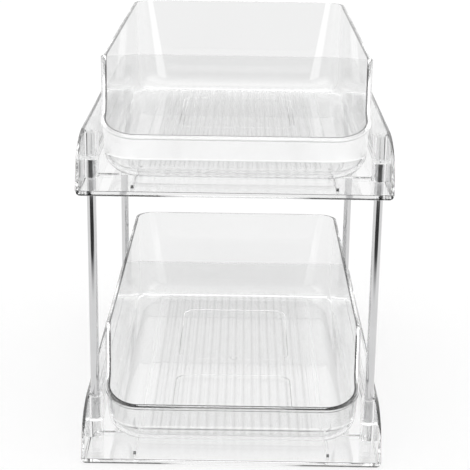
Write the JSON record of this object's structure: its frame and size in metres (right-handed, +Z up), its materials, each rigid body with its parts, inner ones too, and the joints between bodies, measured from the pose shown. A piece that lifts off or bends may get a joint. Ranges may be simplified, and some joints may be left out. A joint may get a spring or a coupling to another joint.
{
  "type": "under sink organizer",
  "caption": "Tiered organizer of clear moulded trays on slim metal posts; each tray guides a clear pull-out drawer with a low scooped front.",
  "frame": {"origin": "on the ground, in the middle of the whole object's box", "axes": "+Z up, front faces -Y, +X to the right seen from the front"},
  "size_m": [0.216, 0.3506, 0.286],
  "materials": {
    "clear_plastic": "clear gloss",
    "post_metal": "polished"
  },
  "bodies": {
    "frame": {"lower_tray": "clear_plastic", "upper_tray": "clear_plastic", "post_front_left": "post_metal", "post_front_right": "post_metal", "post_rear_left": "post_metal", "post_rear_right": "post_metal"},
    "lower_drawer": {"lower_drawer": "clear_plastic"},
    "upper_drawer": {"upper_drawer": "clear_plastic"}
  },
  "joints": [
    {"name": "lower_drawer_slide", "type": "slide", "parent": "frame", "child": "lower_drawer", "axis": [0, -1, 0], "range_m": [0, 0.15]},
    {"name": "upper_drawer_slide", "type": "slide", "parent": "frame", "child": "upper_drawer", "axis": [0, -1, 0], "range_m": [0, 0.15]}
  ]
}
